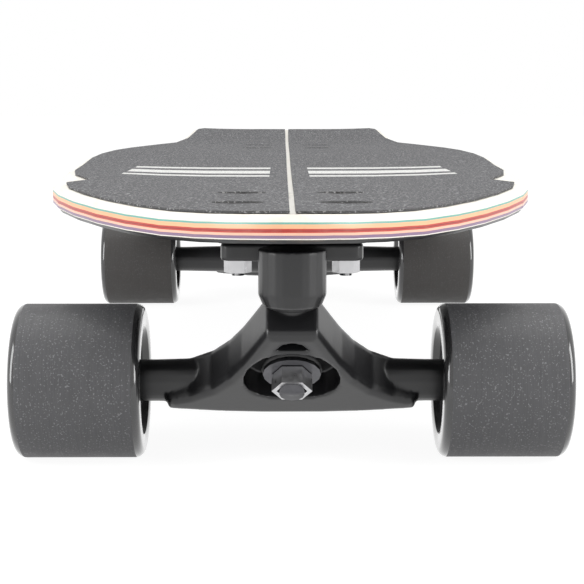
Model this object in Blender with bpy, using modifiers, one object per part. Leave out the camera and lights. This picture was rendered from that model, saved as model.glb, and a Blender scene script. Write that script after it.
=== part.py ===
# Cruiser skateboard: laminated deck, two cast trucks and four urethane wheels.
# Metres, +Z up. The nose points along -Y, and the wheels stand on z = 0.

import bpy
import bmesh
from math import cos, pi, radians, sin, sqrt
from mathutils import Matrix

# Wheels and bearings
WHEEL_RADIUS = 0.031
WHEEL_WIDTH = 0.051
WHEEL_SIDES = 30
LIP_RADIUS = 0.0035
RECESS_RADIUS = 0.0218
RECESS_DEPTH = 0.010
CORE_RADIUS = 0.0150
CORE_WIDTH = 0.026
BEARING_RADIUS = 0.011
BEARING_WIDTH = 0.007
INNER_RACE_RADIUS = 0.0062
RACE_GAP = 0.0007

# Axles
AXLE_RADIUS = 0.004
AXLE_NUT_RADIUS = 0.0068
AXLE_NUT_WIDTH = 0.006
SPEED_RING_RADIUS = 0.0055
SPEED_RING_WIDTH = 0.001
AXLE_END = 0.001

# Truck positions
WHEELBASE = 0.440
FRONT_OUTER_WIDTH = 0.220
REAR_OUTER_WIDTH = 0.254

# Hanger, in its own plane, which rises outward from the axle
STEER_ANGLE = radians(40)
BEAM_END_RADIUS = 0.0085
BEAM_MIDDLE_RADIUS = 0.0100
PLATE_ROAD_FACE = -0.012
PLATE_DECK_FACE = 0.008
PLATE_EDGE_ROUND = 0.003
HUB_ALONG = 0.0275
HUB_HEIGHT = 0.004
HUB_RADIUS = 0.0145
HUB_THICKNESS = 0.010
HUB_BORE_RADIUS = 0.0085
RECESS_MIDDLE = 0.0235
RECESS_HALF_LENGTH = 0.0175
RECESS_HALF_WIDTH = 0.0185
RECESS_TAPER = 0.0030
NOSE_BASE_ALONG = 0.050
NOSE_TAPER_ALONG = 0.056
NOSE_TIP_ALONG = 0.0690
NOSE_BASE_RADIUS = 0.0088
NOSE_TIP_RADIUS = 0.0050
CUP_MOUTH_ALONG = 0.0580
CUP_WALL = 0.0018
CUP_LENGTH = 0.0135

# Kingpin stack
KINGPIN_RADIUS = 0.0048
KINGPIN_HEAD_RADIUS = 0.0078
KINGPIN_HEAD_HEIGHT = 0.005
BUSHING_RADIUS = 0.0118
BUSHING_DECK_HEIGHT = 0.0124
BUSHING_ROAD_HEIGHT = 0.0097
STACK_WASHER_RADIUS = 0.0112
STACK_WASHER_THICKNESS = 0.0015
KINGPIN_NUT_RADIUS = 0.0078
KINGPIN_NUT_HEIGHT = 0.007
KINGPIN_END = 0.0015

# Baseplate and riser
PLATE_BOTTOM = 0.0835
PLATE_THICKNESS = 0.0065
PLATE_HALF_WIDTH = 0.0270
PLATE_OUTER_END = 0.0370
PLATE_INNER_END = 0.0360
PLATE_CORNER = 0.004
PIVOT_BOSS_OUT = 0.050
PIVOT_BOSS_RADIUS = 0.0126
PIVOT_BOSS_BOTTOM = 0.0668
PIVOT_BOSS_ROUND = 0.006
KINGPIN_BOSS_RADIUS = 0.0130
RISER_MARGIN = 0.001

# Mounting hardware
BOLT_SPACING_ACROSS = 0.041275
BOLT_SPACING_ALONG = 0.053975
BOLT_OUTER_ROW = 0.028
BOLT_RADIUS = 0.0024
BOLT_HEAD_RADIUS = 0.0047
BOLT_HEAD_HEIGHT = 0.0026
BOLT_HEAD_SUNK = 0.0006
LOCKNUT_RADIUS = 0.0053
LOCKNUT_HEIGHT = 0.0048
BOLT_END = 0.0012

# Deck
NOSE_OVERHANG = 0.095
NOSE_TIP_CUT = 0.0006
TAIL_OVERHANG = 0.145
DECK_THICKNESS = 0.010
DECK_EDGE_ROUND = 0.0018
DECK_FRONT_BOTTOM = 0.094
DECK_REAR_BOTTOM = 0.098
DECK_NOSE_WIDTH = 0.176
DECK_FRONT_WIDTH = 0.205
DECK_MIDDLE_WIDTH = 0.233
DECK_WIDEST = 0.237
DECK_REAR_WIDTH = 0.196
DECK_TAIL_WIDTH = 0.146
NOSE_ROUND_LENGTH = 0.145
NOSE_ROUNDNESS = 1.62
TAIL_CORNER = 0.030
FLAT_HALF_WIDTH = 0.0285
CONCAVE_RISE = 0.007
NOSE_LIFT = 0.002
NOSE_LIFT_LENGTH = 0.045
TAIL_KICK = 0.009
TAIL_KICK_LENGTH = 0.098
TAIL_CORNER_LIFT = 0.003

# Grip
GRIP_THICKNESS = 0.0008
GRIP_BORDER = 0.0045
GRIP_STRIPE = 0.0022
GRIP_NOTCH_DEPTH = 0.011
GRIP_NOTCH_LENGTH = 0.040
GRIP_HOLE_LENGTH = 0.0210
GRIP_HOLE_WIDTH = 0.0130

# Clearances
MATING_GAP = 0.0003
HOLE_CLEARANCE = 0.0004
HEAD_CLEARANCE = 0.0008

# Places worked out from the sizes above
FRONT_AXLE_Y = -(WHEELBASE + TAIL_OVERHANG - NOSE_OVERHANG + NOSE_TIP_CUT) / 2
REAR_AXLE_Y = FRONT_AXLE_Y + WHEELBASE
NOSE_Y = FRONT_AXLE_Y - NOSE_OVERHANG
TAIL_Y = REAR_AXLE_Y + TAIL_OVERHANG
AXLE_HEIGHT = WHEEL_RADIUS
PLATE_TOP = PLATE_BOTTOM + PLATE_THICKNESS


for old in list(bpy.data.objects):
    bpy.data.objects.remove(old, do_unlink=True)

PARTS = bpy.data.collections.new("cruiser_skateboard")
CUTTERS = bpy.data.collections.new("cutters")
bpy.context.scene.collection.children.link(PARTS)
bpy.context.scene.collection.children.link(CUTTERS)


def material(name, colour, roughness, metallic):
    made = bpy.data.materials.new(name)
    made.use_nodes = True
    shader = made.node_tree.nodes["Principled BSDF"]
    shader.inputs["Base Color"].default_value = (*colour, 1.0)
    shader.inputs["Roughness"].default_value = roughness
    shader.inputs["Metallic"].default_value = metallic
    return made


MAPLE = material("maple", (0.72, 0.52, 0.36), 0.4, 0.0)
GRIT = material("grit", (0.06, 0.06, 0.065), 0.95, 0.0)
CAST_BLACK = material("cast_black", (0.012, 0.012, 0.013), 0.32, 0.2)
BLACK_URETHANE = material("black_urethane", (0.05, 0.05, 0.052), 0.6, 0.0)
SOFT_URETHANE = material("soft_urethane", (0.02, 0.02, 0.02), 0.4, 0.0)
HARD_PLASTIC = material("hard_plastic", (0.03, 0.03, 0.03), 0.35, 0.0)
STEEL = material("steel", (0.55, 0.55, 0.56), 0.3, 1.0)
DARK_STEEL = material("dark_steel", (0.12, 0.12, 0.13), 0.35, 1.0)


def link(thing, name, look, parent=None):
    """Name an object, give it its material and place it under its frame."""
    thing.name = name
    thing.data.materials.clear()
    thing.data.materials.append(look)
    PARTS.objects.link(thing)
    if parent is not None:
        thing.parent = parent
    return thing


def turned_mesh(profile, steps, turn=0.0):
    """A closed profile of (radius, height) points turned about Z.

    The points run down the outer side and back up the inner side.
    """
    outline = bpy.data.meshes.new("profile")
    points = [(radius * cos(turn), radius * sin(turn), height) for radius, height in profile]
    count = len(points)
    edges = [(index, (index + 1) % count) for index in range(count)]
    if profile[0][0] == 0.0:
        edges = edges[:-1]
    outline.from_pydata(points, edges, [])
    holder = bpy.data.objects.new("profile", outline)
    bpy.context.scene.collection.objects.link(holder)
    screw = holder.modifiers.new("turn", "SCREW")
    screw.axis = "Z"
    screw.steps = steps
    screw.render_steps = steps
    screw.use_merge_vertices = True
    screw.merge_threshold = 0.00001
    graph = bpy.context.evaluated_depsgraph_get()
    turned = bpy.data.meshes.new_from_object(holder.evaluated_get(graph))
    bpy.data.objects.remove(holder, do_unlink=True)
    return turned


def ring(inner, outer, low, high):
    return [(outer, high), (outer, low), (inner, low), (inner, high)]


def rod(radius, low, high):
    return [(0.0, high), (radius, high), (radius, low), (0.0, low)]


def gathered(name, pieces):
    """One mesh that holds several separate bodies, each with its own place."""
    bm = bmesh.new()
    for mesh, place in pieces:
        before = set(bm.verts)
        bm.from_mesh(mesh)
        new = [vert for vert in bm.verts if vert not in before]
        bmesh.ops.transform(bm, matrix=place, verts=new)
    bmesh.ops.recalc_face_normals(bm, faces=bm.faces)
    mesh = bpy.data.meshes.new(name)
    bm.to_mesh(mesh)
    bm.free()
    return mesh


def body(name, mesh, look, parent=None, place=None):
    made = bpy.data.objects.new(name, mesh)
    link(made, name, look, parent)
    if place is not None:
        made.location = place
    made.data.shade_smooth()
    made.data.set_sharp_from_angle(angle=radians(32))
    return made


def cutter(mesh, parent=None):
    made = bpy.data.objects.new("cutter", mesh)
    CUTTERS.objects.link(made)
    made.parent = parent
    made.hide_render = True
    made.display_type = "WIRE"
    return made


def combine(target, tool, operation):
    step = target.modifiers.new(operation.lower(), "BOOLEAN")
    step.operation = operation
    step.solver = "EXACT"
    step.object = tool
    return step


def box_mesh(low, high):
    bm = bmesh.new()
    bmesh.ops.create_cube(bm, size=1.0)
    size = [high[axis] - low[axis] for axis in range(3)]
    middle = [(high[axis] + low[axis]) / 2 for axis in range(3)]
    bmesh.ops.scale(bm, vec=size, verts=bm.verts)
    bmesh.ops.translate(bm, vec=middle, verts=bm.verts)
    mesh = bpy.data.meshes.new("box")
    bm.to_mesh(mesh)
    bm.free()
    return mesh


def outline_mesh(points, low, high, edge_round=0.0):
    """A flat outline in XY, extruded from low to high with rounded edges."""
    curve = bpy.data.curves.new("outline", "CURVE")
    curve.dimensions = "2D"
    curve.fill_mode = "BOTH"
    spline = curve.splines.new("POLY")
    spline.points.add(len(points) - 1)
    for point, (across, along) in zip(spline.points, points):
        point.co = (across, along, 0.0, 1.0)
    spline.use_cyclic_u = True
    curve.extrude = (high - low) / 2 - edge_round
    curve.bevel_depth = edge_round
    curve.bevel_resolution = 1
    curve.offset = -edge_round
    holder = bpy.data.objects.new("outline", curve)
    bpy.context.scene.collection.objects.link(holder)
    graph = bpy.context.evaluated_depsgraph_get()
    mesh = bpy.data.meshes.new_from_object(holder.evaluated_get(graph))
    bpy.data.objects.remove(holder, do_unlink=True)
    bm = bmesh.new()
    bm.from_mesh(mesh)
    bmesh.ops.remove_doubles(bm, verts=bm.verts, dist=0.000005)
    bmesh.ops.translate(bm, vec=(0, 0, (high + low) / 2), verts=bm.verts)
    bmesh.ops.recalc_face_normals(bm, faces=bm.faces)
    bm.to_mesh(mesh)
    bm.free()
    return mesh


ALONG_X = Matrix.Rotation(pi / 2, 4, "Y")


def axle_piece(name, profile, steps, look, parent, turn=0.0):
    """A turned piece on an axle: the heights of its profile run along X."""
    return body(name, gathered(name, [(turned_mesh(profile, steps, turn), ALONG_X)]), look, parent)


# Deck


def between(points, at):
    """A smooth curve through (place, value) points."""
    last = len(points) - 2
    index = 0
    while index < last and at > points[index + 1][0]:
        index += 1
    start, end = points[index], points[index + 1]
    before = points[max(index - 1, 0)]
    after = points[min(index + 2, last + 1)]
    span = end[0] - start[0]
    slope_in = (end[1] - before[1]) / (end[0] - before[0])
    slope_out = (after[1] - start[1]) / (after[0] - start[0])
    t = min(max((at - start[0]) / span, 0.0), 1.0)
    rise = (3 - 2 * t) * t * t
    hook_in = t * (1 - t) ** 2 * span * slope_in
    hook_out = t * t * (1 - t) * span * slope_out
    return start[1] + (end[1] - start[1]) * rise + hook_in - hook_out


def ease(t):
    t = min(max(t, 0.0), 1.0)
    return (3 - 2 * t) * t * t


SIDE_CURVE = [
    (NOSE_Y, DECK_NOSE_WIDTH / 2),
    (FRONT_AXLE_Y + 0.050, DECK_FRONT_WIDTH / 2),
    (FRONT_AXLE_Y + WHEELBASE / 2, DECK_MIDDLE_WIDTH / 2),
    (REAR_AXLE_Y - 0.125, DECK_WIDEST / 2),
    (REAR_AXLE_Y - 0.010, DECK_REAR_WIDTH / 2),
    (REAR_AXLE_Y + 0.075, DECK_TAIL_WIDTH / 2 + 0.006),
    (TAIL_Y, DECK_TAIL_WIDTH / 2),
]


def half_width(y):
    width = between(SIDE_CURVE, y)
    t = (y - NOSE_Y) / NOSE_ROUND_LENGTH
    if t < 1:
        width *= (1 - (1 - t) ** NOSE_ROUNDNESS) ** (1 / NOSE_ROUNDNESS)
    past = y - (TAIL_Y - TAIL_CORNER)
    if past > 0:
        width += sqrt(max(TAIL_CORNER ** 2 - past ** 2, 0.0)) - TAIL_CORNER
    return width


def deck_bottom(x, y):
    """The height of the deck's underside."""
    level = ease((y - FRONT_AXLE_Y - 0.06) / (WHEELBASE - 0.12))
    height = DECK_FRONT_BOTTOM + (DECK_REAR_BOTTOM - DECK_FRONT_BOTTOM) * level
    nose = max(0.0, (NOSE_Y + NOSE_LIFT_LENGTH - y) / NOSE_LIFT_LENGTH)
    kick = max(0.0, (y - TAIL_Y + TAIL_KICK_LENGTH) / TAIL_KICK_LENGTH)
    height += NOSE_LIFT * nose ** 2 + TAIL_KICK * kick ** 1.4
    side = between(SIDE_CURVE, y)
    out = max(0.0, abs(x) - FLAT_HALF_WIDTH) / (side - FLAT_HALF_WIDTH)
    rise = CONCAVE_RISE * (0.35 + 0.65 * ease((y - NOSE_Y) / NOSE_ROUND_LENGTH))
    return height + rise * out ** 2 + TAIL_CORNER_LIFT * kick * out


def deck_stations():
    stations = [NOSE_Y + NOSE_TIP_CUT]
    round_steps = 9
    for index in range(1, round_steps):
        stations.append(NOSE_Y + NOSE_ROUND_LENGTH * (1 - cos(index * pi / 2 / round_steps)))
    straight_steps = 15
    first = NOSE_Y + NOSE_ROUND_LENGTH
    last = TAIL_Y - TAIL_CORNER
    for index in range(straight_steps + 1):
        stations.append(first + (last - first) * index / straight_steps)
    for index in (1, 2, 3, 4):
        stations.append(last + TAIL_CORNER * sin(index * pi / 9))
    stations.append(TAIL_Y)
    return stations


def lofted(name, loops):
    """A closed body through rings of points that all have the same count."""
    bm = bmesh.new()
    rows = [[bm.verts.new(point) for point in loop] for loop in loops]
    count = len(rows[0])
    for first, second in zip(rows, rows[1:]):
        for index in range(count):
            other = (index + 1) % count
            bm.faces.new((first[index], first[other], second[other], second[index]))
    bm.faces.new(rows[0])
    bm.faces.new(rows[-1])
    bmesh.ops.recalc_face_normals(bm, faces=bm.faces)
    mesh = bpy.data.meshes.new(name)
    bm.to_mesh(mesh)
    bm.free()
    return mesh


CROSS_STEPS = 10


def deck_ring(y):
    half = half_width(y)
    edge = min(DECK_EDGE_ROUND, half * 0.4)
    inner = half - edge
    across = [inner * (2 * index / CROSS_STEPS - 1) for index in range(CROSS_STEPS + 1)]
    top = [(x, y, deck_bottom(x, y) + DECK_THICKNESS) for x in across]
    low = [(x, y, deck_bottom(x, y)) for x in reversed(across)]
    rim = deck_bottom(half, y)
    right = [(half, y, rim + DECK_THICKNESS - edge), (half, y, rim + edge)]
    left = [(-half, y, rim + edge), (-half, y, rim + DECK_THICKNESS - edge)]
    return top + right + low + left


deck = body("deck", lofted("deck", [deck_ring(y) for y in deck_stations()]), MAPLE)


# Grip sheets, one each side of the stripe along the middle


def grip_edge(y):
    """The outer edge of the grip, with the notch behind the nose section."""
    notch_middle = FRONT_AXLE_Y + 0.085
    notch = max(0.0, 1 - abs(y - notch_middle) / GRIP_NOTCH_LENGTH)
    return half_width(y) - GRIP_BORDER - GRIP_NOTCH_DEPTH * notch


GRIP_STEPS = 5


def grip_ring(y, side):
    inner = GRIP_STRIPE / 2
    outer = max(grip_edge(y), inner + 0.002)
    across = [inner + (outer - inner) * index / GRIP_STEPS for index in range(GRIP_STEPS + 1)]
    base = DECK_THICKNESS + MATING_GAP
    low = [(side * x, y, deck_bottom(x, y) + base) for x in across]
    top = [(side * x, y, deck_bottom(x, y) + base + GRIP_THICKNESS) for x in reversed(across)]
    return low + top


grip_rows = [y for y in deck_stations() if NOSE_Y + 0.004 < y < TAIL_Y - 0.004]
grips = []
for side, side_name in ((-1, "left"), (1, "right")):
    name = "grip_" + side_name
    grips.append(body(name, lofted(name, [grip_ring(y, side) for y in grip_rows]), GRIT))


# Trucks


def hanger_outline():
    """Half outline of the cast triangle as (half width, distance along its plane)."""
    sides = [
        (0.0095, NOSE_BASE_ALONG + 0.004),
        (0.0125, 0.047),
        (0.0155, 0.040),
        (0.0195, 0.031),
        (0.0250, 0.021),
        (0.0320, 0.0125),
        (0.0410, 0.0065),
        (0.0500, 0.0035),
    ]
    low = [(0.0500, -0.0040), (0.0300, -0.0065), (0.0120, -0.0075)]
    half = sides + low
    return half + [(-across, along) for across, along in reversed(half)]


def egg_outline():
    """The kingpin recess: a rounded triangle, wide at the bottom."""
    points = []
    count = 20
    for index in range(count):
        angle = 2 * pi * index / count
        along = RECESS_MIDDLE + RECESS_HALF_LENGTH * sin(angle)
        width = RECESS_HALF_WIDTH - RECESS_TAPER * sin(angle)
        full = abs(cos(angle)) ** 0.8
        points.append((width * (full if cos(angle) > 0 else -full), along))
    return points


def window_outline():
    """The small window between the hub and the nose."""
    return [(0.0068, 0.0430), (0.0035, 0.0478), (0.0, 0.0490), (-0.0035, 0.0478), (-0.0068, 0.0430)]


def bolt_places(top_gap):
    rows = (BOLT_OUTER_ROW, BOLT_OUTER_ROW - BOLT_SPACING_ALONG)
    half = BOLT_SPACING_ACROSS / 2
    return [(x, out, top_gap) for out in rows for x in (-half, half)]


def build_truck(end, axle_y, turn, outer_width, deck_low):
    base = bpy.data.objects.new(end + "_truck_frame", None)
    PARTS.objects.link(base)
    base.location = (0, axle_y, 0)
    base.rotation_euler = (0, 0, turn)
    tilt = bpy.data.objects.new(end + "_hanger_frame", None)
    PARTS.objects.link(tilt)
    tilt.parent = base
    tilt.location = (0, 0, AXLE_HEIGHT)
    tilt.rotation_euler = (STEER_ANGLE, 0, 0)
    axle_frame = bpy.data.objects.new(end + "_axle_frame", None)
    PARTS.objects.link(axle_frame)
    axle_frame.parent = base
    axle_frame.location = (0, 0, AXLE_HEIGHT)

    wheel_x = outer_width / 2 - WHEEL_WIDTH / 2
    bearing_face = wheel_x - CORE_WIDTH / 2
    ring_start = bearing_face - MATING_GAP - SPEED_RING_WIDTH
    beam_half = ring_start - MATING_GAP
    stack = Matrix.Translation((0, HUB_ALONG, 0))

    # Baseplate with its pivot boss and its kingpin boss
    plate_outline = rounded_box(PLATE_HALF_WIDTH, -PLATE_INNER_END, PLATE_OUTER_END, PLATE_CORNER)
    plate = body(end + "_baseplate", outline_mesh(plate_outline, PLATE_BOTTOM, PLATE_TOP, 0.0008),
                 CAST_BLACK, base)
    boss_profile = [
        (0.0, PLATE_TOP - MATING_GAP),
        (PIVOT_BOSS_RADIUS, PLATE_TOP - MATING_GAP),
        (PIVOT_BOSS_RADIUS, PIVOT_BOSS_BOTTOM + PIVOT_BOSS_ROUND),
        (PIVOT_BOSS_RADIUS - 0.0017, PIVOT_BOSS_BOTTOM + 0.0020),
        (PIVOT_BOSS_RADIUS - PIVOT_BOSS_ROUND, PIVOT_BOSS_BOTTOM),
        (0.0, PIVOT_BOSS_BOTTOM),
    ]
    boss = gathered("boss", [(turned_mesh(boss_profile, 24), Matrix.Translation((0, PIVOT_BOSS_OUT, 0)))])
    combine(plate, cutter(boss, base), "UNION")
    web_low = PLATE_OUTER_END - 0.006
    web = box_mesh((-0.009, web_low, PLATE_BOTTOM + 0.0006), (0.009, PIVOT_BOSS_OUT, PLATE_TOP - 0.0008))
    combine(plate, cutter(web, base), "UNION")
    deck_bushing_low = HUB_HEIGHT + HUB_THICKNESS / 2 + MATING_GAP
    deck_bushing_high = deck_bushing_low + BUSHING_DECK_HEIGHT
    deck_washer_low = deck_bushing_high + MATING_GAP
    seat = deck_washer_low + STACK_WASHER_THICKNESS + MATING_GAP
    seat_to_top = 0.030
    king_boss = gathered("boss", [(turned_mesh(rod(KINGPIN_BOSS_RADIUS, seat, seat + seat_to_top), 20), stack)])
    combine(plate, cutter(king_boss, tilt), "UNION")
    head_low = seat + 0.0140
    head_pocket = rod(KINGPIN_HEAD_RADIUS + HEAD_CLEARANCE, head_low - MATING_GAP, head_low + 0.030)
    combine(plate, cutter(gathered("pocket", [(turned_mesh(head_pocket, 16), stack)]), tilt), "DIFFERENCE")
    pin_hole = rod(KINGPIN_RADIUS + HOLE_CLEARANCE, seat - 0.002, head_low + 0.001)
    combine(plate, cutter(gathered("hole", [(turned_mesh(pin_hole, 16), stack)]), tilt), "DIFFERENCE")
    above = box_mesh((-0.04, -0.06, PLATE_TOP), (0.04, 0.08, PLATE_TOP + 0.04))
    combine(plate, cutter(above, base), "DIFFERENCE")
    cup_outer = NOSE_TIP_RADIUS + MATING_GAP + CUP_WALL
    on_axis = Matrix.Translation((0, 0, HUB_HEIGHT)) @ Matrix.Rotation(-pi / 2, 4, "X")
    cup_bore = rod(cup_outer + MATING_GAP, CUP_MOUTH_ALONG - 0.030,
                   CUP_MOUTH_ALONG + CUP_LENGTH + MATING_GAP)
    combine(plate, cutter(gathered("bore", [(turned_mesh(cup_bore, 16), on_axis)]), tilt), "DIFFERENCE")
    mouth = rod(NOSE_BASE_RADIUS + 0.009, CUP_MOUTH_ALONG - 0.030, CUP_MOUTH_ALONG - MATING_GAP)
    combine(plate, cutter(gathered("mouth", [(turned_mesh(mouth, 24), on_axis)]), tilt), "DIFFERENCE")
    hole = turned_mesh(rod(BOLT_RADIUS + HOLE_CLEARANCE, -0.02, 0.02), 12)
    holes = gathered("holes", [(hole, Matrix.Translation(place)) for place in bolt_places(PLATE_BOTTOM)])
    hole_cutter = cutter(holes, base)
    combine(plate, hole_cutter, "DIFFERENCE")

    # Riser pad between the baseplate and the deck
    riser_outline = rounded_box(PLATE_HALF_WIDTH + RISER_MARGIN, -PLATE_INNER_END - RISER_MARGIN,
                                PLATE_OUTER_END + RISER_MARGIN, PLATE_CORNER)
    riser = body(end + "_riser_pad",
                 outline_mesh(riser_outline, PLATE_TOP + MATING_GAP, deck_low - MATING_GAP), HARD_PLASTIC, base)
    combine(riser, hole_cutter, "DIFFERENCE")

    # Pivot cup
    cup_inner = NOSE_TIP_RADIUS + MATING_GAP
    cup_end = CUP_MOUTH_ALONG + CUP_LENGTH
    cup_profile = [
        (0.0, cup_end),
        (cup_outer, cup_end),
        (cup_outer, CUP_MOUTH_ALONG),
        (cup_inner, CUP_MOUTH_ALONG),
        (cup_inner, NOSE_TIP_ALONG + MATING_GAP),
        (0.0, NOSE_TIP_ALONG + MATING_GAP),
    ]
    body(end + "_pivot_cup", gathered("cup", [(turned_mesh(cup_profile, 14), on_axis)]), SOFT_URETHANE, tilt)

    # Kingpin, washers, bushings and nut
    road_bushing_high = HUB_HEIGHT - HUB_THICKNESS / 2 - MATING_GAP
    road_bushing_low = road_bushing_high - BUSHING_ROAD_HEIGHT
    road_washer_low = road_bushing_low - MATING_GAP - STACK_WASHER_THICKNESS
    nut_high = road_washer_low - MATING_GAP
    nut_low = nut_high - KINGPIN_NUT_HEIGHT
    pin_profile = [
        (0.0, head_low + KINGPIN_HEAD_HEIGHT),
        (KINGPIN_HEAD_RADIUS, head_low + KINGPIN_HEAD_HEIGHT),
        (KINGPIN_HEAD_RADIUS, head_low),
        (KINGPIN_RADIUS, head_low),
        (KINGPIN_RADIUS, nut_low - KINGPIN_END),
        (0.0, nut_low - KINGPIN_END),
    ]
    body(end + "_kingpin", gathered("pin", [(turned_mesh(pin_profile, 12), stack)]), DARK_STEEL, tilt)
    bore = KINGPIN_RADIUS + MATING_GAP
    waist = BUSHING_RADIUS - 0.0012
    for place, low, high in (("deck", deck_bushing_low, deck_bushing_high),
                             ("road", road_bushing_low, road_bushing_high)):
        middle = (low + high) / 2
        profile = [(BUSHING_RADIUS, high), (waist, middle), (BUSHING_RADIUS, low), (bore, low), (bore, high)]
        body(end + "_" + place + "_bushing", gathered("bushing", [(turned_mesh(profile, 16), stack)]),
             SOFT_URETHANE, tilt)
    for place, low in (("deck", deck_washer_low), ("road", road_washer_low)):
        profile = ring(bore, STACK_WASHER_RADIUS, low, low + STACK_WASHER_THICKNESS)
        body(end + "_" + place + "_washer", gathered("washer", [(turned_mesh(profile, 18), stack)]),
             DARK_STEEL, tilt)
    flat_bore = bore / cos(pi / 6)
    nut_profile = ring(flat_bore, KINGPIN_NUT_RADIUS, nut_low, nut_high)
    body(end + "_kingpin_nut", gathered("nut", [(turned_mesh(nut_profile, 6), stack)]), STEEL, tilt)

    # Mounting bolts and locknuts
    deck_top = deck_low + DECK_THICKNESS
    head_top = deck_top - BOLT_HEAD_SUNK
    locknut_high = PLATE_BOTTOM - MATING_GAP
    bolt_low = locknut_high - LOCKNUT_HEIGHT - BOLT_END
    bolt_profile = [
        (0.0, head_top),
        (BOLT_HEAD_RADIUS, head_top),
        (BOLT_RADIUS, head_top - BOLT_HEAD_HEIGHT),
        (BOLT_RADIUS, bolt_low),
        (0.0, bolt_low),
    ]
    bolt = turned_mesh(bolt_profile, 10)
    places = [Matrix.Translation(place) for place in bolt_places(0.0)]
    locknut_bore = (BOLT_RADIUS + MATING_GAP) / cos(pi / 6)
    locknut = turned_mesh(ring(locknut_bore, LOCKNUT_RADIUS, locknut_high - LOCKNUT_HEIGHT, locknut_high), 6)
    for number, place in enumerate(places, 1):
        body(f"{end}_bolt_{number}", gathered("bolt", [(bolt, place)]), STEEL, base)
        body(f"{end}_locknut_{number}", gathered("nut", [(locknut, place)]), STEEL, base)

    # Holes for the bolts in the deck and the grip
    sink = BOLT_HEAD_RADIUS + HOLE_CLEARANCE
    shaft = BOLT_RADIUS + HOLE_CLEARANCE
    sink_profile = [
        (0.0, deck_top + 0.003),
        (sink, deck_top + 0.003),
        (sink, head_top - MATING_GAP),
        (shaft, head_top - BOLT_HEAD_HEIGHT - MATING_GAP),
        (shaft, deck_low - 0.005),
        (0.0, deck_low - 0.005),
    ]
    deck_hole = turned_mesh(sink_profile, 12)
    deck_holes = gathered("holes", [(deck_hole, place) for place in places])
    combine(deck, cutter(deck_holes, base), "DIFFERENCE")
    oval = [(GRIP_HOLE_LENGTH / 2 * cos(step * pi / 7), GRIP_HOLE_WIDTH / 2 * sin(step * pi / 7))
            for step in range(14)]
    oval_mesh = outline_mesh(oval, deck_top - 0.002, deck_top + 0.004)
    ovals = cutter(gathered("ovals", [(oval_mesh, place) for place in places]), base)
    for grip in grips:
        combine(grip, ovals, "DIFFERENCE")

    # Hanger: one casting with its beam, triangle, hub, windows and pivot nose
    hanger = body(end + "_hanger",
                  outline_mesh(hanger_outline(), PLATE_ROAD_FACE, PLATE_DECK_FACE, PLATE_EDGE_ROUND),
                  CAST_BLACK, tilt)
    beam_profile = [
        (0.0, beam_half),
        (BEAM_END_RADIUS, beam_half),
        (BEAM_END_RADIUS, beam_half - 0.016),
        (BEAM_MIDDLE_RADIUS, 0.0),
        (BEAM_END_RADIUS, -beam_half + 0.016),
        (BEAM_END_RADIUS, -beam_half),
        (0.0, -beam_half),
    ]
    beam = gathered("beam", [(turned_mesh(beam_profile, 20), ALONG_X)])
    combine(hanger, cutter(beam, tilt), "UNION")
    hub = rod(HUB_RADIUS, HUB_HEIGHT - HUB_THICKNESS / 2, HUB_HEIGHT + HUB_THICKNESS / 2)
    recess = outline_mesh(egg_outline(), PLATE_ROAD_FACE - 0.004, HUB_HEIGHT - HUB_THICKNESS / 2)
    combine(hanger, cutter(recess, tilt), "DIFFERENCE")
    combine(hanger, cutter(gathered("hub", [(turned_mesh(hub, 20), stack)]), tilt), "UNION")
    window = outline_mesh(window_outline(), PLATE_ROAD_FACE - 0.004, PLATE_DECK_FACE + 0.004)
    combine(hanger, cutter(window, tilt), "DIFFERENCE")
    nose_profile = [
        (0.0, NOSE_TIP_ALONG),
        (NOSE_TIP_RADIUS * 0.7, NOSE_TIP_ALONG),
        (NOSE_TIP_RADIUS, NOSE_TIP_ALONG - 0.0022),
        (NOSE_TIP_RADIUS, NOSE_TAPER_ALONG),
        (NOSE_BASE_RADIUS, NOSE_BASE_ALONG + 0.002),
        (NOSE_BASE_RADIUS, NOSE_BASE_ALONG - 0.002),
        (0.0, NOSE_BASE_ALONG - 0.002),
    ]
    combine(hanger, cutter(gathered("nose", [(turned_mesh(nose_profile, 14), on_axis)]), tilt), "UNION")
    hub_bore = rod(HUB_BORE_RADIUS, PLATE_ROAD_FACE - 0.004, PLATE_DECK_FACE + 0.008)
    combine(hanger, cutter(gathered("bore", [(turned_mesh(hub_bore, 16), stack)]), tilt), "DIFFERENCE")
    axle_bore = rod(AXLE_RADIUS + MATING_GAP, -beam_half - 0.002, beam_half + 0.002)
    axle_bore_mesh = gathered("bore", [(turned_mesh(axle_bore, 12), ALONG_X)])
    combine(hanger, cutter(axle_bore_mesh, tilt), "DIFFERENCE")

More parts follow.
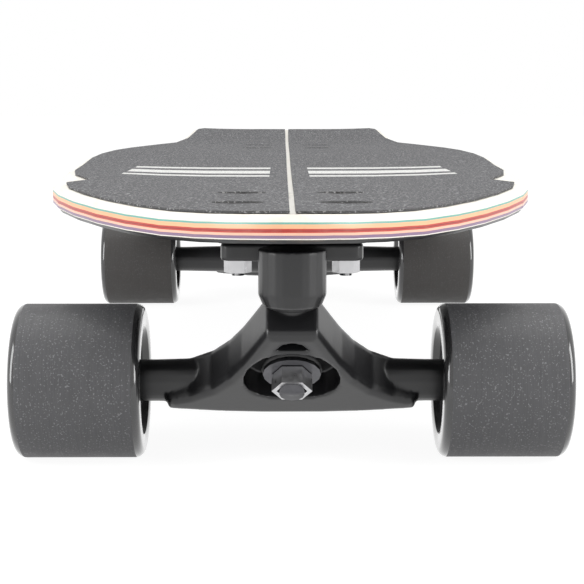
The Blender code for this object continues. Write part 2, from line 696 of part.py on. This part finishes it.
    # Axle with the sleeves that the wheels turn on: speed rings, inner races and spacer
    sleeve_end = wheel_x + CORE_WIDTH / 2 + MATING_GAP + SPEED_RING_WIDTH
    nut_start = sleeve_end + MATING_GAP
    nut_end = nut_start + AXLE_NUT_WIDTH
    axle_half = nut_end + AXLE_END
    right_half = [
        (0.0, axle_half),
        (AXLE_RADIUS, axle_half),
        (AXLE_RADIUS, sleeve_end),
        (SPEED_RING_RADIUS, sleeve_end),
        (SPEED_RING_RADIUS, sleeve_end - SPEED_RING_WIDTH),
        (INNER_RACE_RADIUS, sleeve_end - SPEED_RING_WIDTH - MATING_GAP),
        (INNER_RACE_RADIUS, ring_start + SPEED_RING_WIDTH + MATING_GAP),
        (SPEED_RING_RADIUS, ring_start + SPEED_RING_WIDTH),
        (SPEED_RING_RADIUS, ring_start),
        (AXLE_RADIUS, ring_start),
    ]
    axle_profile = right_half + [(radius, -along) for radius, along in reversed(right_half)]
    axle_piece(end + "_axle", axle_profile, 14, STEEL, axle_frame)
    nut_bore = (AXLE_RADIUS + MATING_GAP) / cos(pi / 6)
    left_nut = ring(nut_bore, AXLE_NUT_RADIUS, -nut_end, -nut_start)
    right_nut = ring(nut_bore, AXLE_NUT_RADIUS, nut_start, nut_end)
    axle_piece(end + "_left_axle_nut", left_nut, 6, STEEL, axle_frame)
    axle_piece(end + "_right_axle_nut", right_nut, 6, STEEL, axle_frame)

    for side, side_name in ((-1, "left"), (1, "right")):
        build_wheel(end + "_" + side_name, side * wheel_x, axle_y)


def rounded_box(half, low, high, corner):
    """A rectangle with rounded corners, as (across, along) points."""
    points = []
    for middle_x, middle_y, start in ((half - corner, high - corner, 0),
                                      (corner - half, high - corner, 1),
                                      (corner - half, low + corner, 2),
                                      (half - corner, low + corner, 3)):
        for step in range(4):
            angle = (start + step / 3) * pi / 2
            points.append((middle_x + corner * cos(angle), middle_y + corner * sin(angle)))
    return points


def build_wheel(name, wheel_x, axle_y):
    """A urethane wheel on its core, whose ends hold the outer races of two bearings."""
    hub = bpy.data.objects.new(name + "_wheel_axis", None)
    PARTS.objects.link(hub)
    hub.location = (wheel_x, axle_y, AXLE_HEIGHT)
    tread = WHEEL_RADIUS / cos(pi / WHEEL_SIDES)
    half = WHEEL_WIDTH / 2
    core_half = CORE_WIDTH / 2
    seat = CORE_RADIUS + MATING_GAP
    tyre = [
        (tread, half - LIP_RADIUS),
        (tread, LIP_RADIUS - half),
        (tread - LIP_RADIUS * 0.3, LIP_RADIUS * 0.3 - half),
        (tread - LIP_RADIUS, -half),
        (RECESS_RADIUS, -half),
        (seat, RECESS_DEPTH - half),
        (seat, half - RECESS_DEPTH),
        (RECESS_RADIUS, half),
        (tread - LIP_RADIUS, half),
        (tread - LIP_RADIUS * 0.3, half - LIP_RADIUS * 0.3),
    ]
    axle_piece(name + "_wheel", tyre, WHEEL_SIDES, BLACK_URETHANE, hub, pi / WHEEL_SIDES)
    race_bore = INNER_RACE_RADIUS + RACE_GAP
    shoulder = core_half - BEARING_WIDTH
    core = [
        (CORE_RADIUS, core_half),
        (CORE_RADIUS, -core_half),
        (race_bore, -core_half),
        (race_bore, -shoulder),
        (BEARING_RADIUS - 0.0015, -shoulder),
        (BEARING_RADIUS - 0.0015, shoulder),
        (race_bore, shoulder),
        (race_bore, core_half),
    ]
    axle_piece(name + "_wheel_core", core, 16, HARD_PLASTIC, hub)


build_truck("front", FRONT_AXLE_Y, pi, FRONT_OUTER_WIDTH, DECK_FRONT_BOTTOM)
build_truck("rear", REAR_AXLE_Y, 0.0, REAR_OUTER_WIDTH, DECK_REAR_BOTTOM)
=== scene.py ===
from math import cos, pi, radians, sin

import bmesh
import bpy
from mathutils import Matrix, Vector


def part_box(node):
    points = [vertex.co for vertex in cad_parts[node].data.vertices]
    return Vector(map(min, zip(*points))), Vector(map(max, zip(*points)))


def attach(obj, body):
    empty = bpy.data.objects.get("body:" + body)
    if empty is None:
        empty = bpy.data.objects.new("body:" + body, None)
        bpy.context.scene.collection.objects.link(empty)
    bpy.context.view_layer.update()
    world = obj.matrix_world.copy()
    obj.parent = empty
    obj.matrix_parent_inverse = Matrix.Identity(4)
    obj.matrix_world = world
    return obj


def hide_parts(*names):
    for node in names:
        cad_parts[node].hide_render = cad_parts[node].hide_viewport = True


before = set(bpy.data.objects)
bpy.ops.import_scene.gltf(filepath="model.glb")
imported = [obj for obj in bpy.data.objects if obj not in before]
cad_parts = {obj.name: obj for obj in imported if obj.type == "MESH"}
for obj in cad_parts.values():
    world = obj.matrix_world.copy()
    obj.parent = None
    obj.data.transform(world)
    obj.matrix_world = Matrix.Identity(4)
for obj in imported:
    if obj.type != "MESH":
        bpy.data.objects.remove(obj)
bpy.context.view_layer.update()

# Camera
# A long lens looks at the nose from a little above the deck. Its place and its
# angle were fitted to the wheels, bolts and deck edge of the photograph.
PHOTO_PIXELS = 584
FOCAL_PIXELS = 1482.1
SENSOR_WIDTH = 36.0
CAMERA_PLACE = (-0.00383, -0.83524, 0.14661)
CAMERA_PITCH = radians(7.694)
CAMERA_YAW = radians(0.395)
NEAREST_SEEN = 0.01
scene = bpy.context.scene
lens = bpy.data.cameras.new("camera")
lens.sensor_width = SENSOR_WIDTH
lens.lens = FOCAL_PIXELS / PHOTO_PIXELS * SENSOR_WIDTH
lens.clip_start = NEAREST_SEEN
camera = bpy.data.objects.new("camera", lens)
camera.location = CAMERA_PLACE
camera.rotation_euler = (pi / 2 - CAMERA_PITCH, 0.0, -CAMERA_YAW)
scene.collection.objects.link(camera)
scene.camera = camera

# White paper and soft lamps
# Matt white paper lies under the wheels and runs on behind the board. Two tall
# soft lamps stand left and right of the nose, and a wide one hangs above it.
scene.view_settings.view_transform = "Standard"
PAPER_SIZE = 12.0
PAPER_MIDDLE = (0.0, 2.0, 0.0)
PAPER_WHITE = (0.92, 0.92, 0.92, 1.0)
PAPER_GLOW = 1.15
PAPER_GLOW_SHARE = 0.80
ROOM_LIGHT = 0.55
ROOM_SEEN_MORE = 0.45
ROOM_MIRRORED_MORE = 0.35
FULL_WHITE = (1.0, 1.0, 1.0, 1.0)
LAMP_AIM = Vector((0.0, 0.0, 0.05))


class Socket:
    """A shader value that takes part in Python sums."""

    def __init__(self, tree, link=None):
        self.tree = tree
        self.link = link

    def node(self, kind, sockets=None, output=0, **settings):
        """Any node of this tree: its settings are set first, and then its sockets."""
        made = self.tree.nodes.new(kind)
        for name, value in settings.items():
            if name == "stops":
                ramp = made.color_ramp
                ramp.interpolation = "CONSTANT"
                while len(ramp.elements) < len(value):
                    ramp.elements.new(0.5)
                for element, (position, colour) in zip(ramp.elements, value):
                    element.position = position
                    element.color = (*colour, 1.0)
            else:
                setattr(made, name, value)
        for name, value in (sockets or {}).items():
            if isinstance(value, Socket):
                self.tree.links.new(value.link, made.inputs[name])
            else:
                made.inputs[name].default_value = value
        return Socket(self.tree, made.outputs[output])

    def maths(self, operation, first, second=0.0):
        return self.node("ShaderNodeMath", {0: first, 1: second}, operation=operation)

    def __add__(self, other):
        return self.maths("ADD", self, other)

    __radd__ = __add__

    def __sub__(self, other):
        return self.maths("SUBTRACT", self, other)

    def __rsub__(self, other):
        return self.maths("SUBTRACT", other, self)

    def __mul__(self, other):
        return self.maths("MULTIPLY", self, other)

    __rmul__ = __mul__

    def __gt__(self, other):
        return self.maths("GREATER_THAN", self, other)

    def __lt__(self, other):
        return self.maths("LESS_THAN", self, other)

    def __abs__(self):
        return self.maths("ABSOLUTE", self)


def white_paper():
    """Paper that the camera and a gloss see as plain white, and that takes a shadow."""
    paper = bpy.data.materials.new("white_paper")
    paper.use_nodes = True
    tree = paper.node_tree
    matt = tree.nodes["Principled BSDF"]
    matt.inputs["Base Color"].default_value = PAPER_WHITE
    matt.inputs["Roughness"].default_value = 1.0
    matt.inputs["Specular IOR Level"].default_value = 0.0
    start = Socket(tree)
    seen = start.node("ShaderNodeLightPath", output="Is Camera Ray")
    mirrored = start.node("ShaderNodeLightPath", output="Is Glossy Ray")
    glow = start.node("ShaderNodeEmission", {"Color": FULL_WHITE, "Strength": PAPER_GLOW})
    matt_surface = Socket(tree, matt.outputs[0])
    share = (seen + mirrored) * PAPER_GLOW_SHARE
    mixed = start.node("ShaderNodeMixShader", {0: share, 1: matt_surface, 2: glow})
    tree.links.new(mixed.link, tree.nodes["Material Output"].inputs["Surface"])
    return paper


def lamp(name, place, size, power):
    light = bpy.data.lights.new(name, "AREA")
    light.shape = "RECTANGLE"
    light.size, light.size_y = size
    light.energy = power
    stand = bpy.data.objects.new(name, light)
    stand.location = place
    stand.rotation_euler = (stand.location - LAMP_AIM).to_track_quat("Z", "Y").to_euler()
    scene.collection.objects.link(stand)


bpy.ops.object.select_all(action="DESELECT")
bpy.ops.mesh.primitive_plane_add(size=PAPER_SIZE, location=PAPER_MIDDLE)
floor = bpy.context.object
floor.name = "floor"
bpy.ops.object.transform_apply(location=True)
floor.data.materials.append(white_paper())

studio = bpy.data.worlds.new("studio")
scene.world = studio
studio.use_nodes = True
room = studio.node_tree.nodes["Background"]
room.inputs["Color"].default_value = FULL_WHITE
room_start = Socket(studio.node_tree)
seen_room = room_start.node("ShaderNodeLightPath", output="Is Camera Ray")
mirrored_room = room_start.node("ShaderNodeLightPath", output="Is Glossy Ray")
room_strength = ROOM_LIGHT + ROOM_SEEN_MORE * seen_room + ROOM_MIRRORED_MORE * mirrored_room
studio.node_tree.links.new(room_strength.link, room.inputs["Strength"])

lamp("lamp_left", (-1.1, -0.7, 0.55), (0.5, 1.0), 9.0)
lamp("lamp_right", (1.1, -0.7, 0.55), (0.5, 1.0), 10.0)
lamp("lamp_top", (0.0, 0.1, 1.5), (1.4, 1.4), 14.0)

# Deck
# Maple veneers in several colours are glued and pressed to a shallow concave
# with a kicked tail. The top is lacquered and the underside painted black, and
# eight bolts hold the trucks to it. It is the solid, pressed lower at its rails.
DECK_THICKNESS = 0.010
DECK_FRONT_BOTTOM = 0.094
REAR_CLIMB = 0.004
NOSE_Y = -0.3403
TAIL_Y = 0.3397
NOSE_ROUND_LENGTH = 0.145
NOSE_LIFT = 0.002
NOSE_LIFT_LENGTH = 0.045
NOSE_CONCAVE_SHARE = 0.35
FLAT_HALF_WIDTH = 0.0285
TAIL_KICK = 0.009
TAIL_KICK_LENGTH = 0.098
TAIL_KICK_CURVE = 1.4
SIDE_CURVE = (
    (NOSE_Y, 0.088),
    (-0.1953, 0.1025),
    (-0.0253, 0.1165),
    (0.0697, 0.1185),
    (0.1847, 0.098),
    (0.2697, 0.079),
    (TAIL_Y, 0.073),
)
SOLID_CLIMB = (-0.1853, 0.1347)
SOLID_CONCAVE = 0.007
SOLID_CORNER_LIFT = 0.003
SOLID_TAIL_CORNER = 0.030
SHALLOW_CLIMB = (-0.05, 0.140)
SHALLOW_CONCAVE = 0.0035
SHALLOW_CONCAVE_LOSS = 0.002
SHALLOW_LOSS_START = -0.15
SHALLOW_LOSS_LENGTH = 0.2
SHALLOW_CORNER_LIFT = 0.0005
SHALLOW_TAIL_CORNER = 0.012
CORNER_MERGE = 0.000002
EDGE_SHARP = radians(35)
CREAM = (0.86, 0.83, 0.75)
TEAL = (0.16, 0.42, 0.36)
ORANGE = (0.88, 0.47, 0.26)
RED = (0.50, 0.045, 0.03)
DARK_RED = (0.24, 0.02, 0.02)
PEACH = (0.86, 0.50, 0.36)
PURPLE = (0.24, 0.15, 0.25)
BLACK_PAINT = (0.012, 0.012, 0.013)
GRAIN_BROWN = (0.45, 0.30, 0.20)
PLY_STOPS = (
    (0.00, BLACK_PAINT),
    (0.13, CREAM),
    (0.17, PURPLE),
    (0.28, PEACH),
    (0.37, RED),
    (0.42, DARK_RED),
    (0.45, RED),
    (0.51, ORANGE),
    (0.66, TEAL),
    (0.73, CREAM),
)
PLY_WOBBLE = 0.03
PAINTED_BELOW = -0.6


def new_finish(name, **uniform):
    """A material with its uniform values, and the place that its pattern reads."""
    finish = bpy.data.materials.new(name)
    finish.use_nodes = True
    shader = finish.node_tree.nodes["Principled BSDF"]
    for key, value in uniform.items():
        shader.inputs[key.replace("_", " ")].default_value = value
    return finish, Socket(finish.node_tree).node("ShaderNodeTexCoord", output="Object")


def feed(finish, **varying):
    """Link the values that change over the surface to the material's shader."""
    shader = finish.node_tree.nodes["Principled BSDF"]
    for key, value in varying.items():
        finish.node_tree.links.new(value.link, shader.inputs[key.replace("_", " ")])


def noise(place, scale, detail=3.0, stretch=(1.0, 1.0, 1.0)):
    where = place.node("ShaderNodeMapping", {"Vector": place, "Scale": stretch})
    return place.node("ShaderNodeTexNoise", {"Vector": where, "Scale": scale, "Detail": detail})


def blend(factor, first, second):
    """A colour between two. Sockets 6 and 7 of the node are its two colours."""
    ends = [end if isinstance(end, Socket) else (*end, 1.0) for end in (first, second)]
    return factor.node("ShaderNodeMix", {0: factor, 6: ends[0], 7: ends[1]}, 2, data_type="RGBA")


def bump(height, strength, distance):
    return height.node("ShaderNodeBump", {"Strength": strength, "Distance": distance, "Height": height})


def clean_copy(node, name, sharp=EDGE_SHARP):
    """A named copy of a CAD node with its corners joined and its faces smooth."""
    shell = bmesh.new()
    shell.from_mesh(bpy.data.objects[node].data)
    bmesh.ops.remove_doubles(shell, verts=shell.verts, dist=CORNER_MERGE)
    mesh = bpy.data.meshes.new(name)
    shell.to_mesh(mesh)
    shell.free()
    piece = bpy.data.objects.new(name, mesh)
    scene.collection.objects.link(piece)
    mesh.shade_smooth()
    mesh.set_sharp_from_angle(angle=sharp)
    return piece


def place_piece(piece, node, body, finish):
    piece.data.materials.clear()
    piece.data.materials.append(finish)
    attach(piece, body)
    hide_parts(node)


def ease(t):
    t = min(max(t, 0.0), 1.0)
    return (3 - 2 * t) * t * t


def side_width(at):
    """Half of the deck's width before its nose and corners are rounded."""
    last = len(SIDE_CURVE) - 2
    index = 0
    while index < last and at > SIDE_CURVE[index + 1][0]:
        index += 1
    start, end = SIDE_CURVE[index], SIDE_CURVE[index + 1]
    before = SIDE_CURVE[max(index - 1, 0)]
    after = SIDE_CURVE[min(index + 2, last + 1)]
    span = end[0] - start[0]
    slope_in = (end[1] - before[1]) / (end[0] - before[0])
    slope_out = (after[1] - start[1]) / (after[0] - start[0])
    t = min(max((at - start[0]) / span, 0.0), 1.0)
    hooks = t * (1 - t) * span * ((1 - t) * slope_in - t * slope_out)
    return start[1] + (end[1] - start[1]) * ease(t) + hooks


def underside(x, y, climb, concave, corner_lift):
    """The height of the deck's underside for one shape of the press."""
    level = ease((y - climb[0]) / (climb[1] - climb[0]))
    nose = max(0.0, (NOSE_Y + NOSE_LIFT_LENGTH - y) / NOSE_LIFT_LENGTH)
    kick = max(0.0, (y - TAIL_Y + TAIL_KICK_LENGTH) / TAIL_KICK_LENGTH)
    out = max(0.0, abs(x) - FLAT_HALF_WIDTH) / (side_width(y) - FLAT_HALF_WIDTH)
    past_nose = ease((y - NOSE_Y) / NOSE_ROUND_LENGTH)
    bend = concave * (NOSE_CONCAVE_SHARE + (1 - NOSE_CONCAVE_SHARE) * past_nose)
    height = DECK_FRONT_BOTTOM + REAR_CLIMB * level
    height += NOSE_LIFT * nose ** 2 + TAIL_KICK * kick ** TAIL_KICK_CURVE
    return height + bend * out ** 2 + corner_lift * kick * out


def solid_underside(x, y):
    return underside(x, y, SOLID_CLIMB, SOLID_CONCAVE, SOLID_CORNER_LIFT)


def shallow_underside(x, y):
    loss = SHALLOW_CONCAVE_LOSS * ease((y - SHALLOW_LOSS_START) / SHALLOW_LOSS_LENGTH)
    return underside(x, y, SHALLOW_CLIMB, SHALLOW_CONCAVE - loss, SHALLOW_CORNER_LIFT)


def cornered_width(y, radius):
    """Half of the deck's width with the tail's corners rounded."""
    past = max(0.0, y - (TAIL_Y - radius))
    return side_width(y) + max(radius ** 2 - past ** 2, 0.0) ** 0.5 - radius


def press_lower(mesh):
    """Bend a copied mesh to the shallow concave and the squarer tail."""
    for vert in mesh.vertices:
        x, y, z = vert.co
        wider = cornered_width(y, SHALLOW_TAIL_CORNER) / cornered_width(y, SOLID_TAIL_CORNER)
        vert.co = (x * wider, y, z - solid_underside(x, y) + shallow_underside(x, y))


deck = clean_copy("deck", "laminated_deck")
ply = deck.data.attributes.new("ply", "FLOAT", "POINT")
for vert in deck.data.vertices:
    ply.data[vert.index].value = (vert.co.z - solid_underside(vert.co.x, vert.co.y)) / DECK_THICKNESS
press_lower(deck.data)

ply_edge, deck_place = new_finish("ply_edge", Coat_Weight=0.35, Coat_Roughness=0.2)
ply_height = deck_place.node("ShaderNodeAttribute", output="Fac", attribute_name="ply")
wobble = noise(deck_place, 60.0, 4.0, (1.0, 1.0, 0.1))
plies = deck_place.node("ShaderNodeValToRGB", {0: ply_height + (wobble - 0.5) * PLY_WOBBLE}, stops=PLY_STOPS)
grain = noise(deck_place, 35.0, 6.0, (6.0, 0.5, 6.0))
veneer = blend((grain - 0.45) * 0.5, plies, GRAIN_BROWN)
facing = deck_place.node("ShaderNodeNewGeometry", output="Normal")
upward = facing.node("ShaderNodeSeparateXYZ", {0: facing}, output="Z")
lacquered = blend(upward < PAINTED_BELOW, veneer, BLACK_PAINT)
feed(ply_edge, Base_Color=lacquered, Roughness=0.34 + 0.2 * grain, Normal=bump(grain, 0.10, 0.0004))
place_piece(deck, "deck", "board", ply_edge)

# Grip sheets
# Silicon carbide grit is glued to black paper with a sticky back. The two
# sheets are cut inside the deck's edge, with a bare stripe between them and an
# oval window at each bolt, and plain pale bars are printed across the middle.
GRIT_BLACK = (0.028, 0.028, 0.030)
GRIT_GREY = (0.13, 0.13, 0.135)
GRIT_PAINTED_GLINT = (0.45, 0.45, 0.46)
BAR_INK = (0.68, 0.68, 0.66)
PAINTED_GLINT_ABOVE = 0.62
INK_HOLDS_ABOVE = 0.42
BAR_MIDDLE = -0.062
BAR_START = 0.010
BAR_END = 0.083
BARS = ((-0.034, 0.006), (0.0, 0.013), (0.036, 0.006))
grit, grit_place = new_finish("grit", Roughness=0.85)
grains = noise(grit_place, 1500.0, 2.0)
# The pale flecks mixed into the grit's colour are painted glints: light caught by single grains, painted in
# as colour.
painted_glints = noise(grit_place, 900.0, 1.0) > PAINTED_GLINT_ABOVE
cells = grit_place.node("ShaderNodeTexVoronoi", {"Vector": grit_place, "Scale": 900.0}, feature="F1")
grit_with_painted_glints = blend(painted_glints * 0.55, blend(grains, GRIT_BLACK, GRIT_GREY), GRIT_PAINTED_GLINT)
out_from_middle = abs(grit_place.node("ShaderNodeSeparateXYZ", {0: grit_place}, output="X"))
along_deck = grit_place.node("ShaderNodeSeparateXYZ", {0: grit_place}, output="Y")
bar_rows = sum(abs(along_deck - (BAR_MIDDLE + row)) < half for row, half in BARS)
bars = bar_rows * (out_from_middle < BAR_END) * (out_from_middle > BAR_START)
printed = blend(bars * (0.55 + 0.45 * (grains > INK_HOLDS_ABOVE)), grit_with_painted_glints, BAR_INK)
feed(grit, Base_Color=printed, Normal=bump(grains + cells * 0.5, 0.8, 0.0004))
for side in ("left", "right"):
    sheet = clean_copy("grip_" + side, "grit_sheet_" + side)
    press_lower(sheet.data)
    place_piece(sheet, "grip_" + side, "board", grit)

# Hangers and baseplates
# Both are gravity-cast aluminium under a satin black coat. The hanger's arms run
# from the beam to the pivot nose, round an egg-shaped recess for the kingpin.
# The baseplate is bolted up through the riser pad and the deck.
HANGER_VOXEL = 0.00065
PLATE_VOXEL = 0.0006
HANGER_ROUNDS = 6
PLATE_ROUNDS = 2
black_coat, coat_place = new_finish(
    "black_coat", Base_Color=(0.011, 0.011, 0.012, 1.0), Coat_Weight=0.25, Coat_Roughness=0.22
)
peel = noise(coat_place, 420.0)
feed(black_coat, Roughness=0.26 + 0.16 * noise(coat_place, 30.0), Normal=bump(peel, 0.12, 0.0002))


def cast(node, name, voxel, rounds):
    """A casting with its edges softened as they leave the mould."""
    piece = clean_copy(node, name)
    bpy.ops.object.select_all(action="DESELECT")
    piece.select_set(True)
    bpy.context.view_layer.objects.active = piece
    remesh = piece.modifiers.new("remesh", "REMESH")
    remesh.mode = "VOXEL"
    remesh.voxel_size = voxel
    bpy.ops.object.modifier_apply(modifier=remesh.name)
    soften = piece.modifiers.new("soften", "SMOOTH")
    soften.factor = 0.5
    soften.iterations = rounds
    bpy.ops.object.modifier_apply(modifier=soften.name)
    piece.data.shade_smooth()
    return piece


for end in ("front", "rear"):
    hanger = cast(end + "_hanger", end + "_cast_hanger", HANGER_VOXEL, HANGER_ROUNDS)
    place_piece(hanger, end + "_hanger", end + "_hanger", black_coat)
    plate = cast(end + "_baseplate", end + "_cast_baseplate", PLATE_VOXEL, PLATE_ROUNDS)
    place_piece(plate, end + "_baseplate", "board", black_coat)

# Bushings, pivot cups and riser pads
# The bushings are poured urethane rings, squeezed on the kingpin by its nut,
# and a small urethane cup holds the pivot nose. A hard moulded pad lies
# between each baseplate and the deck.
BUSHING_SHARP = radians(50)
poured, poured_place = new_finish("poured_urethane", Base_Color=(0.016, 0.016, 0.017, 1.0))
cloudy = noise(poured_place, 90.0)
feed(poured, Roughness=0.28 + 0.2 * cloudy, Normal=bump(cloudy, 0.05, 0.0003))
moulded, moulded_place = new_finish("moulded_plastic", Base_Color=(0.022, 0.022, 0.023, 1.0))
pebble = noise(moulded_place, 700.0, 2.0)
feed(moulded, Roughness=0.38 + 0.2 * pebble, Normal=bump(pebble, 0.15, 0.0002))
for end in ("front", "rear"):
    for node in ("deck_bushing", "road_bushing", "pivot_cup"):
        ring = clean_copy(end + "_" + node, end + "_poured_" + node, BUSHING_SHARP)
        place_piece(ring, end + "_" + node, "board", poured)
    pad = clean_copy(end + "_riser_pad", end + "_pad")
    place_piece(pad, end + "_riser_pad", "board", moulded)

# Bolts, kingpins and axles
# All are bought steel parts, turned or cold formed. Bolts, nuts and axles are
# zinc plated, and the kingpins and cup washers are in black zinc. Locknuts
# hold the bolts, and the kingpin's nut holds the hanger to its baseplate.
WASHER_SHARP = radians(40)
STAIN_DARK = (0.06, 0.06, 0.065)
STAIN_PALE = (0.16, 0.16, 0.17)
zinc, zinc_place = new_finish("zinc_plate", Base_Color=(0.60, 0.60, 0.61, 1.0), Metallic=1.0)
brushed = noise(zinc_place, 500.0)
feed(zinc, Roughness=0.20 + 0.22 * brushed, Normal=bump(brushed, 0.05, 0.0001))
black_zinc, black_place = new_finish("black_zinc", Metallic=1.0)
stain = noise(black_place, 260.0)
feed(black_zinc, Roughness=0.22 + 0.2 * stain, Base_Color=blend(stain, STAIN_DARK, STAIN_PALE))
for end in ("front", "rear"):
    for number in (1, 2, 3, 4):
        for kind in ("bolt", "locknut"):
            fixing = clean_copy(f"{end}_{kind}_{number}", f"{end}_zinc_{kind}_{number}")
            place_piece(fixing, f"{end}_{kind}_{number}", "board", zinc)
    for node in ("kingpin", "deck_washer", "road_washer"):
        part = clean_copy(end + "_" + node, end + "_black_" + node, WASHER_SHARP)
        place_piece(part, end + "_" + node, "board", black_zinc)
    nut = clean_copy(end + "_kingpin_nut", end + "_zinc_kingpin_nut")
    place_piece(nut, end + "_kingpin_nut", "board", zinc)
    for node in ("axle", "left_axle_nut", "right_axle_nut"):
        part = clean_copy(end + "_" + node, end + "_zinc_" + node)
        place_piece(part, end + "_" + node, end + "_hanger", zinc)

# Wheels
# Dark urethane is poured round a plastic core that holds two bearings. The
# tread is ground on a stone, which leaves fine lines round it, and the lips and
# the dished sides stay smooth. Each wheel spins on its axle behind a nut.
WHEEL_RADIUS = 0.031
LIP_RADIUS = 0.0035
RECESS_RADIUS = 0.0218
RECESS_DEPTH = 0.010
RECESS_EDGE = 0.0012
RECESS_EDGE_DEPTH = 0.0004
RECESS_SLOPE_SHARE = 0.45
RECESS_SLOPE_IN = 0.0022
CORE_SEAT_RADIUS = 0.0153
TREAD_HALF_WIDTH = 0.0225
TURNED_SIDES = 128
LIP_STEPS = 6
TURNED_SHARP = radians(40)
TURNED_MERGE = 0.00001
LIP_BLACK = (0.022, 0.022, 0.023)
TREAD_FLECK = (0.30, 0.30, 0.31)


def ground_urethane(name, middle, dark, pale, fleck):
    """Ground grey between the lips, and smooth dark urethane on lips and sides."""
    finish, place = new_finish(name, Coat_Roughness=0.12)
    lines = noise(place, 1.0, 4.0, (2600.0, 40.0, 40.0))
    patches = noise(place, 160.0, 4.0)
    flecks = noise(place, 1400.0, 1.0) > 0.66
    across = place.node("ShaderNodeSeparateXYZ", {0: place}, output="X")
    tread = abs(abs(across) - middle) < TREAD_HALF_WIDTH
    ground = blend(flecks * fleck, blend(lines * 0.6 + patches * 0.4, dark, pale), TREAD_FLECK)
    feed(finish, Base_Color=blend(tread, LIP_BLACK, ground))
    feed(finish, Roughness=0.12 + tread * (0.32 + 0.3 * patches), Coat_Weight=1.0 - tread * 0.92)
    feed(finish, Normal=bump(lines * tread, 0.25, 0.0002))
    return finish


def turned_wheel(name, middle, width):
    """The outline of the wheel's section, spun round the axle."""
    half = width / 2
    outline = []
    for step in range(LIP_STEPS + 1):
        angle = step * pi / 2 / LIP_STEPS
        lip_along = half - LIP_RADIUS + LIP_RADIUS * sin(angle)
        outline.append((lip_along, WHEEL_RADIUS - LIP_RADIUS + LIP_RADIUS * cos(angle)))
    outline.append((half, RECESS_RADIUS + RECESS_EDGE))
    outline.append((half - RECESS_EDGE_DEPTH, RECESS_RADIUS))
    outline.append((half - RECESS_DEPTH * RECESS_SLOPE_SHARE, RECESS_RADIUS - RECESS_SLOPE_IN))
    outline.append((half - RECESS_DEPTH, CORE_SEAT_RADIUS))
    points = outline + [(-along, out) for along, out in reversed(outline)]
    mesh = bpy.data.meshes.new(name)
    verts = [(middle[0] + along, middle[1], middle[2] + out) for along, out in points]
    edges = [(index, (index + 1) % len(points)) for index in range(len(points))]
    mesh.from_pydata(verts, edges, [])
    piece = bpy.data.objects.new(name, mesh)
    scene.collection.objects.link(piece)
    bpy.ops.object.select_all(action="DESELECT")
    piece.select_set(True)
    bpy.context.view_layer.objects.active = piece
    bpy.ops.object.mode_set(mode="EDIT")
    bpy.ops.mesh.select_all(action="SELECT")
    bpy.ops.mesh.spin(steps=TURNED_SIDES, angle=2 * pi, center=middle, axis=(1.0, 0.0, 0.0))
    bpy.ops.mesh.select_all(action="SELECT")
    bpy.ops.mesh.remove_doubles(threshold=TURNED_MERGE)
    bpy.ops.mesh.normals_make_consistent(inside=False)
    bpy.ops.object.mode_set(mode="OBJECT")
    piece.data.shade_smooth()
    piece.data.set_sharp_from_angle(angle=TURNED_SHARP)
    return piece


treads = {
    "front": ground_urethane("ground_urethane", 0.0845, (0.030, 0.030, 0.032), (0.105, 0.105, 0.110), 0.4),
    "rear": ground_urethane("worn_urethane", 0.1015, (0.028, 0.026, 0.025), (0.050, 0.046, 0.043), 0.1),
}
core, core_place = new_finish("core_plastic", Base_Color=(0.03, 0.03, 0.031, 1.0))
mottle = noise(core_place, 300.0)
feed(core, Roughness=0.32 + 0.2 * mottle, Normal=bump(mottle, 0.1, 0.0002))
for end in ("front", "rear"):
    for side in ("left", "right"):
        label = end + "_" + side
        low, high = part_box(label + "_wheel")
        middle = ((low[0] + high[0]) / 2, (low[1] + high[1]) / 2, WHEEL_RADIUS)
        tyre = turned_wheel(label + "_tyre", middle, high[0] - low[0])
        place_piece(tyre, label + "_wheel", label + "_wheel", treads[end])
        hub = clean_copy(label + "_wheel_core", label + "_core")
        place_piece(hub, label + "_wheel_core", label + "_wheel", core)
